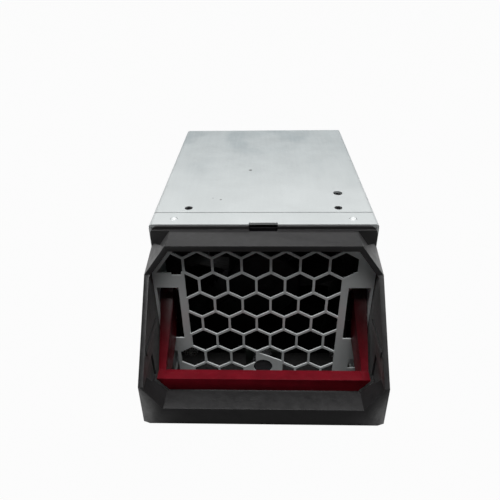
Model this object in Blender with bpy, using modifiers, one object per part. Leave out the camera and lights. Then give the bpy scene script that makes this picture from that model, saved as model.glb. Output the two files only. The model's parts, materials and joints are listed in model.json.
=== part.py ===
"""A hot-swap fan module for a server: a sheet-metal box with two counter-rotating
80 mm fans behind a honeycomb grille, and a moulded bezel with a swinging handle.

Metres, +Z up, the grille faces -Y. The origin is the middle of the box's underside.
"""

import bmesh
import bpy
from math import cos, pi, radians, sin, tan
from mathutils import Matrix, Vector

# Sheet, clearances and the room round the fans, which set the box
SHEET = 0.0010
GAP = 0.0003
HEAD_PLAY = 0.00015
FAN_SIDE = 0.0800
FAN_DEPTH = 0.0380
SIDE_ROOM = 0.0037
TOP_ROOM = 0.0011
FAN_BEHIND = 0.0119
REAR_ROOM = 0.0238
BEND = 0.0013
COLLAR_LENGTH = 0.0096
LID_FLANGE = 0.0090
SEAM = 0.0004

BOX_WIDTH = FAN_SIDE + 2 * (SIDE_ROOM + SHEET)
BOX_HEIGHT = SHEET + GAP + FAN_SIDE + TOP_ROOM + SHEET
BOX_LENGTH = FAN_BEHIND + 2 * FAN_DEPTH + GAP + REAR_ROOM
BOX_HALF = BOX_WIDTH / 2
INNER_HALF = BOX_HALF - SHEET
HEM_HALF = INNER_HALF - GAP
FRONT_Y = -BOX_LENGTH / 2
BACK_Y = BOX_LENGTH / 2

# Fasteners and holes of the lid and the front collar
LID_SCREW_IN = 0.0140
LID_SCREW_BEHIND = 0.0137
LID_HEAD_RADIUS = 0.0015
LID_HEAD_SINK = 0.0001
LID_RECESS_RADIUS = 0.0009
LID_RECESS_DEPTH = 0.0006
LID_SHANK_RADIUS = 0.0009
LID_SCREW_BITE = 0.0050
TOOLING_IN = 0.0124
TOOLING_BEHIND = 0.0275
TOOLING_RADIUS = 0.0020
RIVET_IN = 0.0094
RIVET_BEHIND = 0.0045
RIVET_RADIUS = 0.0013
RIVET_PROUD = 0.0002

# Grille pan, whose front wall stands ahead of the box
GRILLE_AHEAD = 0.0101
PAN_PLAY = 0.00035
PAN_TOP_DROP = 0.0044
PAN_BOTTOM = 0.0022
PAN_RETURN = 0.0190
PAN_RIM = 0.0013
PAN_STEP = 0.0014
CELL_PITCH = 0.01125
CELL_WALL = 0.00096
CELL_OFFSET = -0.00264
FIRST_ROW_DROP = 0.0125
FIELD_MARGIN = 0.01265
WIDE_MARGIN = 0.0066
FIELD_FOOT = 0.0053
SMALLEST_CELL = 0.0000045
NOTCH_DROP = 0.0045
NOTCH_IN = 0.0006
CORNER_DROP = 0.0036
SLOT_ROOM = 0.0032
SLOT_ABOVE = 0.0054
SLOT_BELOW = 0.0215
SLOT_EDGE = 0.00005
LAMP_RISE = 0.0144
LAMP_RADIUS = 0.0042
LAMP_PATCH = 0.0095
LAMP_PLAY = 0.0002
LAMP_DEPTH = 0.0070
LAMP_RIM = 0.0010
LAMP_RIM_END = 0.0030
LAMP_BOARD_HALF = 0.0080
LAMP_BOARD = 0.0016
LAMP_BOARD_RISE = 0.0020
SIDE_CUT_WIDE = 0.0040
SIDE_CUT_RISE = 0.0098
LEFT_CUT_TALL = 0.0142
RIGHT_CUT_RISE = 0.0040
RIGHT_CUT_TALL = 0.0055

GRILLE_Y = FRONT_Y - GRILLE_AHEAD
PAN_HALF = INNER_HALF - PAN_PLAY
PAN_TOP = BOX_HEIGHT - PAN_TOP_DROP
FIELD_HALF = PAN_HALF - FIELD_MARGIN
FIELD_BOTTOM = PAN_BOTTOM + FIELD_FOOT
FIRST_ROW = BOX_HEIGHT - FIRST_ROW_DROP
LAMP_HEIGHT = PAN_BOTTOM + LAMP_RISE
LAMP_EDGE = (-0.0029, LAMP_HEIGHT + 0.0088)
LAMP_EDGE_FACES = (5.3, 11.0)

# Bezel: neck, shoulders, a slope of 45 degrees, and a blunt nose with a beam across
BEZEL_OVER = 0.0008
BEZEL_WALL = 0.0019
BEZEL_ROOF = 0.0024
BEZEL_TOP_DROP = 0.0018
RIB_THICK = 0.0007
PLATE_THICK = 0.0014
PLATE_IN = 0.0006
PLATE_DROP = 0.0003
PLATE_CORNER = 0.0034
PLATE_KNUCKLE = 0.0063
NECK_AHEAD = 0.0029
SHOULDER_IN = 0.0093
SHOULDER_DROP = 0.0129
SLOPE_RUN = 0.0293
NOSE_LEAN = 0.0030
NOSE_DROP = 0.0179
NOSE_CHAMFER = 0.0026
NOSE_IN = 0.0061
SIDE_END_BACK = 0.0022
FOOT_AHEAD = 0.0137
BEAM_DROP = 0.0094
BEAM_DEEP = 0.0098
BEAM_CORNER_IN = 0.0066
BEAM_CORNER_RISE = 0.0085
BEAM_WEB = 0.0005
MOUTH_STEP = 0.0008
LEDGE_DROP = 0.0204
LEDGE_TALL = 0.0030
LEDGE_PROUD = 0.0005
LEDGE_START = 0.0045
LEDGE_END = 0.0225
POCKET_DEEP = 0.0008
POCKET_START = 0.0150
POCKET_END = 0.0265
POCKET_TOP_DROP = 0.0290
POCKET_TALL = 0.0120
CLIP_HALF = 0.0053
CLIP_THICK = 0.0007
CLIP_SET = 0.0004
CLIP_SINK = 0.0018
CLIP_TONGUE = 0.0010
CLIP_FLOOR = 0.0013
CLIP_SLOT = 0.0021
CLIP_NOTCH = 0.0014

BEZEL_HALF = BOX_HALF + BEZEL_OVER
BEZEL_INNER = BEZEL_HALF - BEZEL_WALL
BEZEL_TOP = BOX_HEIGHT - BEZEL_TOP_DROP
BEZEL_BACK = FRONT_Y - GAP
PLATE_HALF = BOX_HALF - PLATE_IN
PLATE_TOP = BOX_HEIGHT - PLATE_DROP
TOP_HALF = BEZEL_HALF - SHOULDER_IN
SHOULDER_HEIGHT = BEZEL_TOP - SHOULDER_DROP
KNEE_HEIGHT = SHOULDER_HEIGHT - SLOPE_RUN
KNEE_AHEAD = NECK_AHEAD + SLOPE_RUN
NOSE_AHEAD = KNEE_AHEAD + NOSE_LEAN
NOSE_BOTTOM = KNEE_HEIGHT - NOSE_DROP
BEAM_TOP = KNEE_HEIGHT - BEAM_DROP
BEAM_BACK_AHEAD = NOSE_AHEAD - BEAM_DEEP
BEAM_HALF = BEZEL_INNER - BEAM_CORNER_IN

# Handle
PIVOT_BEHIND = 0.0100
PIVOT_DROP = 0.0284
ARM_PLAY = 0.00045
ARM_ROOT = 0.0051
ARM_TIP = 0.0029
ARM_SLOPE = radians(49.7)
ARM_ABOVE = 0.0039
ARM_BELOW = 0.0051
EYE_RADIUS = 0.0050
EYE_TRIM = 0.25
PIN_RADIUS = 0.0015
PIN_PLAY = 0.0001
PIN_HEAD = 0.0012
BAR_FRONT = 0.02025
BAR_DROP = 0.0242
BAR_TALL = 0.0085
BAR_FLAT = 0.0031
BAR_DEEP = 0.0053
BAR_FALL = 0.0004
BAR_FOOT_BACK = 0.0038
BAR_FOOT_RISE = 0.0023
BAR_STEP = 0.00006
BAR_SET = 0.0010
CORNER_IN = 0.0060
CORNER_TOP = 0.0004

PIVOT_Y = GRILLE_Y + PIVOT_BEHIND
PIVOT_HEIGHT = BOX_HEIGHT - PIVOT_DROP
ARM_OUTER = PAN_HALF - SHEET - ARM_PLAY
ARM_INNER_ROOT = ARM_OUTER - ARM_ROOT
ARM_INNER_BAR = ARM_OUTER - ARM_TIP
BAR_TOP = PIVOT_HEIGHT - BAR_DROP
BAR_BOTTOM = BAR_TOP - BAR_TALL
BAR_FRONT_Y = GRILLE_Y - BAR_FRONT
BAR_BACK_Y = BAR_FRONT_Y + BAR_DEEP
SLOT_INNER = ARM_INNER_ROOT - SLOT_ROOM
SLOT_OUTER = PAN_HALF - SHEET - SLOT_EDGE
SLOT_BOTTOM = PIVOT_HEIGHT - SLOT_BELOW
SLOT_TOP = PIVOT_HEIGHT + SLOT_ABOVE

# Fan housings, impellers and motors, in each fan's own depth
FAN_WALL = 0.0015
FAN_CORNER = 0.0040
FLANGE = 0.0040
TIE_INSET = 0.00425
TIE_HOLE_RADIUS = 0.0022
POCKET_ARC = radians(17)
WAIST_REACH = 0.45
TIP_PLAY = 0.0008
HUB_RADIUS = 0.0170
HUB_WALL = 0.0014
HUB_FACE = 0.0020
HUB_PLAY = 0.0070
HUB_BEVEL = 0.0015
IMPELLER_START = 0.0040
BLADE_INSET = 0.0012
BLADE_THICK = 0.0016
BLADE_EDGE = 0.45
BLADE_CAMBER = 0.35
BLADE_SWEEP = 0.18
ROOT_TWIST = 0.62
TIP_TWIST = 0.40
BASE_THICK = 0.0030
STRUT_WIDE = 0.0022
STRUT_DEEP = 0.0028
STRUT_LEAN = 0.35
STRUT_TURN = 0.3
TUBE_START = 0.0020
TUBE_WALL = 0.0013
FIT = 0.0001
MAGNET_SHARE = 0.13
MAGNET_SHORT = 0.0070
AIR_GAP = 0.0006
SHAFT_RADIUS = 0.0015
BEARING_SHARE = 0.235
BEARING_LENGTH = 0.0040
STATOR_START = 0.0025
STATOR_SHORT = 0.0035
SLOT_SHARE = 0.29
BOARD_THICK = 0.0016
BOARD_INSET = 0.0022
POLES = 6
FRONT_BLADES = 7
REAR_BLADES = 5
FRONT_STRUTS = 4
REAR_STRUTS = 7

AXIS_HEIGHT = SHEET + GAP + FAN_SIDE / 2
FAN_TOP = AXIS_HEIGHT + FAN_SIDE / 2
FAN_FRONT_Y = FRONT_Y + FAN_BEHIND
FAN_REAR_Y = FAN_FRONT_Y + FAN_DEPTH + GAP
FAN_END_Y = FAN_REAR_Y + FAN_DEPTH
BORE_RADIUS = FAN_SIDE / 2 - FAN_WALL
TIE_SPAN = FAN_SIDE - 2 * TIE_INSET
BASE_START = FAN_DEPTH - BASE_THICK
HUB_LENGTH = BASE_START - HUB_PLAY - IMPELLER_START
CUP_RADIUS = HUB_RADIUS - HUB_WALL - FIT
CUP_FLOOR = IMPELLER_START + HUB_FACE
TUBE_REACH = BASE_START - CUP_FLOOR - TUBE_START
MAGNET = HUB_RADIUS * MAGNET_SHARE
MAGNET_LENGTH = HUB_LENGTH - HUB_FACE - MAGNET_SHORT
STATOR_LENGTH = MAGNET_LENGTH - STATOR_SHORT
BEARING_RADIUS = HUB_RADIUS * BEARING_SHARE
TUBE_RADIUS = BEARING_RADIUS + FIT + TUBE_WALL

# Tie screws and side rails
TIE_RADIUS = 0.0019
TIE_HEAD = 0.0036
TIE_HEAD_TALL = 0.0022
TIE_PAST = 0.0038
CROSS_LONG = 0.0021
CROSS_WIDE = 0.0004
CROSS_DEEP = 0.0010
NUT_RADIUS = 0.0040
NUT_TALL = 0.0030
PAD_HALF = 0.0190
PAD_INSET = 0.0020
PAD_ROUND = 0.0008

# Rear end: finger guard, plug and leads
REAR_INSET = 0.0010
GUARD_EDGE = 0.0070
GUARD_RISE = 0.0048
GUARD_STEP = 0.0062
GUARD_BAR = 0.0016
GUARD_HUB = 0.0090
SPOKE_HALF = 0.0011
PLUG_HALF = 0.0120
PLUG_HEIGHT = 0.0090
PLUG_LENGTH = 0.0120
PLUG_SINK = 0.0002
PLUG_WALL = 0.0015
PLUG_WAYS = 6
WAY_WALL = 0.0004
WAY_EDGE = 0.0020
WAY_DEEP = 0.0080
TERMINAL_HALF = 0.0004
TERMINAL_TALL = 0.0036
TERMINAL_SHORT = 0.0015
LEAD_RADIUS = 0.0013
LEAD_LOW = 0.0070
LEAD_START = 0.0120
LEAD_CORNER_IN = 0.0100
LEAD_STEP = 0.0065
LEAD_TURN = 0.0043
LEAD_TAIL = 0.0022
LEAD_STAND = 0.0001
LEAD_SPREAD = 0.73

PLUG_LOW = SHEET + GAP
GUARD_RADIUS = FAN_SIDE / 2 - GUARD_EDGE
GUARD_HEIGHT = BOX_HEIGHT / 2 + GUARD_RISE

ROUND_STEPS = 24
CUP_STEPS = 30
BORE_STEPS = 42
LENS_STEPS = 18
HEAD_STEPS = 16
FINE_STEPS = 12
EYE_STEPS = 10
WAIST_STEPS = 6
CORNER_STEPS = 4
BEND_STEPS = 3
FRONT_LEAD_POINTS = 30
REAR_LEAD_POINTS = 18
SHARP = radians(60)
ROUND_ANGLE = radians(35)
FACET_ANGLE = radians(12)
THIN = "MANIFOLD"  # the Boolean solver for thin sheet, where EXACT leaves open edges


def clear_scene():
    for obj in list(bpy.data.objects):
        bpy.data.objects.remove(obj, do_unlink=True)


def new_collection(name):
    collection = bpy.data.collections.new(name)
    bpy.context.scene.collection.children.link(collection)
    return collection


def material(name, color, roughness, metallic=0.0):
    made = bpy.data.materials.new(name)
    made.use_nodes = True
    shader = made.node_tree.nodes["Principled BSDF"]
    shader.inputs["Base Color"].default_value = (*color, 1.0)
    shader.inputs["Roughness"].default_value = roughness
    shader.inputs["Metallic"].default_value = metallic
    return made


def mesh_object(name, mesh, where):
    obj = bpy.data.objects.new(name, mesh)
    where.objects.link(obj)
    return obj


def from_bmesh(name, shape, where):
    bmesh.ops.recalc_face_normals(shape, faces=shape.faces[:])
    mesh = bpy.data.meshes.new(name)
    shape.to_mesh(mesh)
    shape.free()
    return mesh_object(name, mesh, where)


def box(name, low, high, where=None):
    shape = bmesh.new()
    bmesh.ops.create_cube(shape, size=1.0)
    low, high = Vector(low), Vector(high)
    for vertex in shape.verts:
        vertex.co = Vector(
            (low[i] if vertex.co[i] < 0 else high[i]) for i in range(3)
        )
    return from_bmesh(name, shape, where or tools)


PLANES = {
    "XY": Matrix.Identity(4),
    "XZ": Matrix.Rotation(pi / 2, 4, "X"),
    "YZ": Matrix.Rotation(pi / 2, 4, "Z") @ Matrix.Rotation(pi / 2, 4, "X"),
}


def sheet(name, loops, low, high, plane="XZ", where=None):
    """A flat outline with holes, from low to high along the axis that its plane lacks."""
    curve = bpy.data.curves.new(name, "CURVE")
    curve.dimensions = "2D"
    curve.fill_mode = "BOTH"
    curve.extrude = (high - low) / 2
    for loop in loops:
        spline = curve.splines.new("POLY")
        spline.points.add(len(loop) - 1)
        for point, (u, v) in zip(spline.points, loop):
            point.co = (u, v, 0, 1)
        spline.use_cyclic_u = True
    flat = bpy.data.objects.new(name + "_outline", curve)
    tools.objects.link(flat)
    graph = bpy.context.evaluated_depsgraph_get()
    graph.update()
    mesh = bpy.data.meshes.new_from_object(flat.evaluated_get(graph))
    bpy.data.objects.remove(flat, do_unlink=True)
    axis = {"XY": 2, "XZ": 1, "YZ": 0}[plane]
    shift = Vector((0, 0, 0))
    shift[axis] = (low + high) / 2
    shape = bmesh.new()
    shape.from_mesh(mesh)
    bpy.data.meshes.remove(mesh)
    bmesh.ops.remove_doubles(shape, verts=shape.verts[:], dist=1e-6)
    bmesh.ops.dissolve_limit(
        shape, angle_limit=radians(1), verts=shape.verts[:], edges=shape.edges[:]
    )
    bmesh.ops.transform(
        shape, matrix=Matrix.Translation(shift) @ PLANES[plane], verts=shape.verts[:]
    )
    return from_bmesh(name, shape, where or tools)


def cylinder(name, radius, start, end, where=None, steps=ROUND_STEPS, tip=None):
    start, end = Vector(start), Vector(end)
    along = end - start
    shape = bmesh.new()
    bmesh.ops.create_cone(
        shape,
        cap_ends=True,
        segments=steps,
        radius1=radius,
        radius2=radius if tip is None else tip,
        depth=along.length,
        matrix=Matrix.Translation((start + end) / 2)
        @ along.to_track_quat("Z", "Y").to_matrix().to_4x4(),
    )
    return from_bmesh(name, shape, where or tools)


def boolean(target, operation, others, solver):
    for other in others:
        modifier = target.modifiers.new(operation.lower(), "BOOLEAN")
        modifier.operation = operation
        modifier.object = other
        modifier.solver = solver
    return target


def cut(target, *others, solver="EXACT"):
    return boolean(target, "DIFFERENCE", others, solver)


def join(target, *others, solver="EXACT"):
    return boolean(target, "UNION", others, solver)


def bevel(target, width, segments=1, limit=radians(40)):
    modifier = target.modifiers.new("edges", "BEVEL")
    modifier.width = width
    modifier.segments = segments
    modifier.limit_method = "ANGLE"
    modifier.angle_limit = limit
    modifier.use_clamp_overlap = True
    return target


def finish(obj, name, surface):
    """Names the sub-part, gives it its material and puts it in the module's collection."""
    obj.name = name
    obj.data.name = name
    for holder in list(obj.users_collection):
        holder.objects.unlink(obj)
    module.objects.link(obj)
    obj.data.materials.clear()
    obj.data.materials.append(surface)
    return obj


def circle(radius, centre=(0, 0), steps=ROUND_STEPS, turn=0.0):
    return [
        (
            centre[0] + radius * cos(turn + 2 * pi * i / steps),
            centre[1] + radius * sin(turn + 2 * pi * i / steps),
        )
        for i in range(steps)
    ]


def rectangle(u0, u1, v0, v1):
    return [(u0, v0), (u1, v0), (u1, v1), (u0, v1)]


def clip(loop, point, inward):
    """The part of a convex outline on the inward side of the line through the point."""
    kept = []
    for i, a in enumerate(loop):
        b = loop[(i + 1) % len(loop)]
        da = (a[0] - point[0]) * inward[0] + (a[1] - point[1]) * inward[1]
        db = (b[0] - point[0]) * inward[0] + (b[1] - point[1]) * inward[1]
        if da >= 0:
            kept.append(a)
        if da * db < 0:
            share = da / (da - db)
            kept.append((a[0] + share * (b[0] - a[0]), a[1] + share * (b[1] - a[1])))
    return kept


def loop_area(loop):
    total = 0.0
    for i, a in enumerate(loop):
        b = loop[(i + 1) % len(loop)]
        total += a[0] * b[1] - a[1] * b[0]
    return abs(total) / 2


# Sheet metal


def make_tray():
    """Floor and two side walls, up to where the lid's bends begin."""
    side = BOX_HEIGHT - BEND - GAP
    section = [
        (-BOX_HALF, 0),
        (BOX_HALF, 0),
        (BOX_HALF, side),
        (INNER_HALF, side),
        (INNER_HALF, SHEET),
        (-INNER_HALF, SHEET),
        (-INNER_HALF, side),
        (-BOX_HALF, side),
    ]
    return finish(sheet("tray", [section], FRONT_Y, BACK_Y), "tray", steel)


def cover_section(hem_low):
    """A flat top with rounded bends, and hems that hang inside the tray's walls."""
    bend = [
        (
            BOX_HALF - BEND + BEND * sin(pi / 2 * i / BEND_STEPS),
            BOX_HEIGHT - BEND + BEND * cos(pi / 2 * i / BEND_STEPS),
        )
        for i in range(BEND_STEPS + 1)
    ]
    right = bend + [
        (HEM_HALF, BOX_HEIGHT - BEND),
        (HEM_HALF, hem_low),
        (HEM_HALF - SHEET, hem_low),
        (HEM_HALF - SHEET, BOX_HEIGHT - SHEET),
    ]
    return right + [(-x, z) for x, z in reversed(right)]


def lid_hole(radius, across, behind, steps=ROUND_STEPS):
    """A cutter through the lid or the collar, at a place from the box's side and front."""
    low, high = BOX_HEIGHT - 2 * SHEET, BOX_HEIGHT + SHEET
    y = FRONT_Y + behind
    return cylinder("cover_hole", radius, (across, y, low), (across, y, high), steps=steps)


def make_lid():
    """Flat lid behind the collar, with flush screws and one tooling hole."""
    start = FRONT_Y + COLLAR_LENGTH + SEAM
    lid = sheet("lid", [cover_section(BOX_HEIGHT - LID_FLANGE)], start, BACK_Y)
    screw = BOX_HALF - LID_SCREW_IN
    holes = [lid_hole(LID_HEAD_RADIUS + HEAD_PLAY, x, LID_SCREW_BEHIND) for x in (-screw, screw)]
    holes.append(lid_hole(TOOLING_RADIUS, BOX_HALF - TOOLING_IN, TOOLING_BEHIND))
    return finish(cut(lid, *holes, solver=THIN), "top_lid", steel)


def make_lid_screws():
    """Flush screws through the lid into the front fan's top flange."""
    top = BOX_HEIGHT - LID_HEAD_SINK
    y = FRONT_Y + LID_SCREW_BEHIND
    for side, name in ((-1, "lid_screw_left"), (1, "lid_screw_right")):
        x = side * (BOX_HALF - LID_SCREW_IN)
        head = cylinder(name, LID_HEAD_RADIUS, (x, y, top), (x, y, top - SHEET))
        recess = cylinder(
            "recess", LID_RECESS_RADIUS, (x, y, top + SHEET), (x, y, top - LID_RECESS_DEPTH), steps=6
        )
        shank_end = FAN_TOP - LID_SCREW_BITE + GAP
        shank = cylinder(
            "shank", LID_SHANK_RADIUS, (x, y, top - SHEET / 2), (x, y, shank_end), steps=FINE_STEPS
        )
        finish(cut(join(head, shank), recess), name, black_oxide)


def make_collar():
    """Front strip over the box's mouth, notched for the bezel's clip."""
    collar = sheet("collar", [cover_section(PAN_TOP + GAP)], FRONT_Y, FRONT_Y + COLLAR_LENGTH)
    notch_half = CLIP_HALF + GAP
    notch = box(
        "notch",
        (-notch_half, FRONT_Y - SHEET, BOX_HEIGHT - 2 * SHEET),
        (notch_half, FRONT_Y + CLIP_NOTCH, BOX_HEIGHT + SHEET),
    )
    radius = RIVET_RADIUS + HEAD_PLAY
    rivet = BOX_HALF - RIVET_IN
    holes = [lid_hole(radius, x, RIVET_BEHIND, HEAD_STEPS) for x in (-rivet, rivet)]
    return finish(cut(collar, notch, *holes, solver=THIN), "front_collar", steel)


def make_rivets():
    """Rivets that hold the collar to the pan's top return."""
    y = FRONT_Y + RIVET_BEHIND
    for side, name in ((-1, "collar_rivet_left"), (1, "collar_rivet_right")):
        x = side * (BOX_HALF - RIVET_IN)
        low, high = PAN_TOP + GAP, BOX_HEIGHT + RIVET_PROUD
        rivet = cylinder(name, RIVET_RADIUS, (x, y, low), (x, y, high), steps=HEAD_STEPS)
        finish(bevel(rivet, GAP, 1, SHARP), name, bright_steel)


# Grille pan


def pan_outline(inset=0.0):
    """The pan seen from the front, with upper corners that follow the bezel's facets."""
    half, top = PAN_HALF - inset, PAN_TOP - inset
    facet = Vector((SHOULDER_IN, SHOULDER_DROP)).normalized()
    drop = SHOULDER_DROP / SHOULDER_IN
    reach = TOP_HALF - PAN_STEP - inset * (1 - facet.x) / facet.y
    corner_across = min(reach, half)
    return [
        (-half, PAN_BOTTOM + inset),
        (half, PAN_BOTTOM + inset),
        (half, top - (half - corner_across) * drop),
        (corner_across, top),
        (-corner_across, top),
        (-half, top - (half - corner_across) * drop),
    ]


def clip_inside(loop, outline):
    """The part of a convex outline that lies inside another, whose points turn left."""
    for i, a in enumerate(outline):
        b = outline[(i + 1) % len(outline)]
        loop = clip(loop, a, (a[1] - b[1], b[0] - a[0])) if loop else loop
    return loop


def cells():
    """The honeycomb's openings, clipped to its field and to the lamp's solid patch."""
    radius = (CELL_PITCH - CELL_WALL) / 3**0.5
    row_step = CELL_PITCH * 3**0.5 / 2
    reach = int(FIELD_HALF / CELL_PITCH) + 1
    rim = pan_outline(PAN_RIM)
    found = []
    for row in range(-1, int((FIRST_ROW - FIELD_BOTTOM) / row_step) + 2):
        height = FIRST_ROW - row * row_step
        for column in range(-reach - 1, reach + 2):
            across = CELL_OFFSET + (column + 0.5 * (row % 2)) * CELL_PITCH
            if row == 0 and column == -reach:
                continue
            wide = (row, column) in ((0, reach), (5, -reach)) or row < 0
            half = PAN_HALF - WIDE_MARGIN if wide else FIELD_HALF
            loop = circle(radius, (across, height), 6, pi / 2)
            loop = clip(loop, (half, 0), (-1, 0))
            loop = clip(loop, (-half, 0), (1, 0)) if loop else loop
            loop = clip(loop, (0, FIELD_BOTTOM), (0, 1)) if loop else loop
            if abs(across) < LAMP_PATCH and height < LAMP_HEIGHT + LAMP_PATCH:
                loop = clip(loop, LAMP_EDGE, LAMP_EDGE_FACES) if loop else loop
            loop = clip_inside(loop, rim)
            if len(loop) > 2 and loop_area(loop) > SMALLEST_CELL:
                found.append(loop)
    return found


def corner_opening():
    """The open upper left corner: one cell of the top row, run out to the pan's rim."""
    radius = (CELL_PITCH - CELL_WALL) / 3**0.5
    reach = int(FIELD_HALF / CELL_PITCH) + 1
    across = CELL_OFFSET - reach * CELL_PITCH
    right = across + (CELL_PITCH - CELL_WALL) / 2
    low = FIRST_ROW - CORNER_DROP
    outline = [
        (-PAN_HALF, low),
        (across, low),
        (right, FIRST_ROW - radius / 2),
        (right, FIRST_ROW + radius / 2),
        (across, FIRST_ROW + radius),
        (-PAN_HALF, FIRST_ROW + radius),
    ]
    notch = [
        (across + NOTCH_IN, FIRST_ROW - NOTCH_DROP),
        (right - NOTCH_IN, FIRST_ROW - NOTCH_DROP),
        (right - NOTCH_IN, FIRST_ROW),
        (across + NOTCH_IN, FIRST_ROW),
    ]
    return clip_inside(outline, pan_outline(PAN_RIM)), notch


def make_grille():
    """A pan of thin sheet: the honeycomb wall and four returns into the box."""
    wall = sheet("grille", [pan_outline()] + cells(), GRILLE_Y, GRILLE_Y + SHEET)
    frame = [pan_outline(), pan_outline(SHEET)]
    returns = sheet("returns", frame, GRILLE_Y + SHEET / 2, GRILLE_Y + PAN_RETURN)
    join(wall, returns, solver=THIN)
    side_low = PAN_BOTTOM + SIDE_CUT_RISE
    left, right = SLOT_OUTER - SIDE_CUT_WIDE - SHEET, SLOT_OUTER - SHEET
    openings = list(corner_opening())
    openings.append(circle(LAMP_RADIUS, (0, LAMP_HEIGHT)))
    openings.append(rectangle(-right, -left, side_low, side_low + LEFT_CUT_TALL))
    side_low += RIGHT_CUT_RISE
    openings.append(rectangle(left, right, side_low, side_low + RIGHT_CUT_TALL))
    openings.append(rectangle(-SLOT_OUTER, -SLOT_INNER, SLOT_BOTTOM, SLOT_TOP))
    openings.append(rectangle(SLOT_INNER, SLOT_OUTER, SLOT_BOTTOM, SLOT_TOP))
    for opening in openings:
        cutter = sheet("opening", [opening], GRILLE_Y - SHEET, GRILLE_Y + 2 * SHEET)
        cut(wall, cutter, solver=THIN)
    return finish(cut(wall, pivot_hole(), solver=THIN), "grille_plate", steel)


def pivot_hole():
    """A cutter along the handle's pivot axis, through arms and pan alike."""
    return cylinder(
        "pivot_hole",
        PIN_RADIUS + PIN_PLAY,
        (-BOX_WIDTH, PIVOT_Y, PIVOT_HEIGHT),
        (BOX_WIDTH, PIVOT_Y, PIVOT_HEIGHT),
    )


# Bezel


def side_profile():
    """The bezel seen from the side: neck, slope, blunt nose and sloping underside."""
    neck, knee, nose = (GRILLE_Y - ahead for ahead in (NECK_AHEAD, KNEE_AHEAD, NOSE_AHEAD))
    lean = NOSE_LEAN * NOSE_CHAMFER / NOSE_DROP
    return [
        (BEZEL_BACK, 0),
        (BEZEL_BACK, BEZEL_TOP),
        (neck, BEZEL_TOP),
        (neck, SHOULDER_HEIGHT),
        (knee, KNEE_HEIGHT),
        (nose + lean, NOSE_BOTTOM + NOSE_CHAMFER),
        (nose + NOSE_CHAMFER / 2, NOSE_BOTTOM),
        (nose + NOSE_CHAMFER, NOSE_BOTTOM),
        (GRILLE_Y - FOOT_AHEAD, 0),
    ]


def shoulder_cutter(side):
    """Takes the upper corner off along a plane from the top edge to the shoulder."""
    corner = [
        (side * TOP_HALF, BEZEL_TOP),
        (side * BEZEL_HALF, SHOULDER_HEIGHT),
        (side * 2 * BEZEL_HALF, SHOULDER_HEIGHT),
        (side * 2 * BEZEL_HALF, 2 * BEZEL_TOP),
        (side * TOP_HALF, 2 * BEZEL_TOP),
    ]
    return sheet("shoulder", [corner], GRILLE_Y - 2 * NOSE_AHEAD, BEZEL_BACK + SHEET)


def back_plate():
    """A plate with rounded corners behind the neck, and a thin rib that stands over it."""
    across, height = PLATE_HALF - PLATE_CORNER, PLATE_TOP - PLATE_CORNER
    arc = [
        (
            across + PLATE_CORNER * cos(pi / 2 * i / CORNER_STEPS),
            height + PLATE_CORNER * sin(pi / 2 * i / CORNER_STEPS),
        )
        for i in range(CORNER_STEPS + 1)
    ]
    right = [(PLATE_HALF, SHOULDER_HEIGHT)] + arc
    outline = right + [(-x, z) for x, z in reversed(right)]
    low = clip(outline, (0, BEZEL_TOP), (0, -1))
    rib = sheet("rib", [outline], BEZEL_BACK - RIB_THICK, BEZEL_BACK)
    return rib, sheet("plate", [low], BEZEL_BACK - PLATE_THICK, BEZEL_BACK)


def neck_corner(side):
    """Fills the neck out from the front's cut corner to the plate at the box."""
    neck, plate = GRILLE_Y - NECK_AHEAD, BEZEL_BACK - PLATE_THICK
    deep = TOP_HALF - SHOULDER_IN
    knuckle = SHOULDER_HEIGHT + PLATE_KNUCKLE
    shape = bmesh.new()
    for x, y, z in (
        (TOP_HALF, neck, BEZEL_TOP),
        (BEZEL_HALF, neck, SHOULDER_HEIGHT),
        (BEZEL_HALF, BEZEL_BACK, SHOULDER_HEIGHT),
        (PLATE_HALF - PLATE_IN, plate, knuckle),
        (PLATE_HALF, BEZEL_BACK, knuckle),
        (deep, neck, SHOULDER_HEIGHT),
        (deep, BEZEL_BACK, SHOULDER_HEIGHT),
    ):
        shape.verts.new((side * x, y, z))
    hull = bmesh.ops.convex_hull(shape, input=shape.verts[:])
    spare = [v for v in hull["geom_interior"] if isinstance(v, bmesh.types.BMVert)]
    bmesh.ops.delete(shape, geom=spare, context="VERTS")
    return from_bmesh("neck_corner", shape, tools)


def lower_corner(side):
    """Takes the lower corner off by a plane through the knee and the nose's two feet."""
    knee = Vector((side * BEZEL_HALF, GRILLE_Y - KNEE_AHEAD, KNEE_HEIGHT))
    end = Vector((side * BEZEL_HALF, GRILLE_Y - NOSE_AHEAD + SIDE_END_BACK, NOSE_BOTTOM))
    nose = Vector((side * (BEZEL_HALF - NOSE_IN), GRILLE_Y - NOSE_AHEAD, NOSE_BOTTOM))
    normal = (end - knee).cross(nose - knee).normalized()
    if normal.y > 0:
        normal = -normal
    shape = bmesh.new()
    bmesh.ops.create_cube(shape, size=BEZEL_HALF * 2)
    bmesh.ops.translate(shape, verts=shape.verts[:], vec=(0, 0, BEZEL_HALF))
    turn = normal.to_track_quat("Z", "Y").to_matrix().to_4x4()
    centre = (knee + end + nose) / 3
    bmesh.ops.transform(
        shape, matrix=Matrix.Translation(centre) @ turn, verts=shape.verts[:]
    )
    return from_bmesh("lower_corner", shape, tools)


def mouth_cutter():
    """The tunnel from the front to the grille, over the beam."""
    roof = BEZEL_TOP - BEZEL_ROOF
    corner = SHOULDER_HEIGHT - MOUTH_STEP
    right = [
        (BEAM_HALF, BEAM_TOP),
        (BEZEL_INNER, BEAM_TOP + BEAM_CORNER_RISE),
        (BEZEL_INNER, corner),
        (TOP_HALF - MOUTH_STEP, roof),
    ]
    outline = right + [(-x, z) for x, z in reversed(right)]
    return sheet("mouth", [outline], GRILLE_Y - 2 * NOSE_AHEAD, BEZEL_BACK + SHEET)


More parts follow.
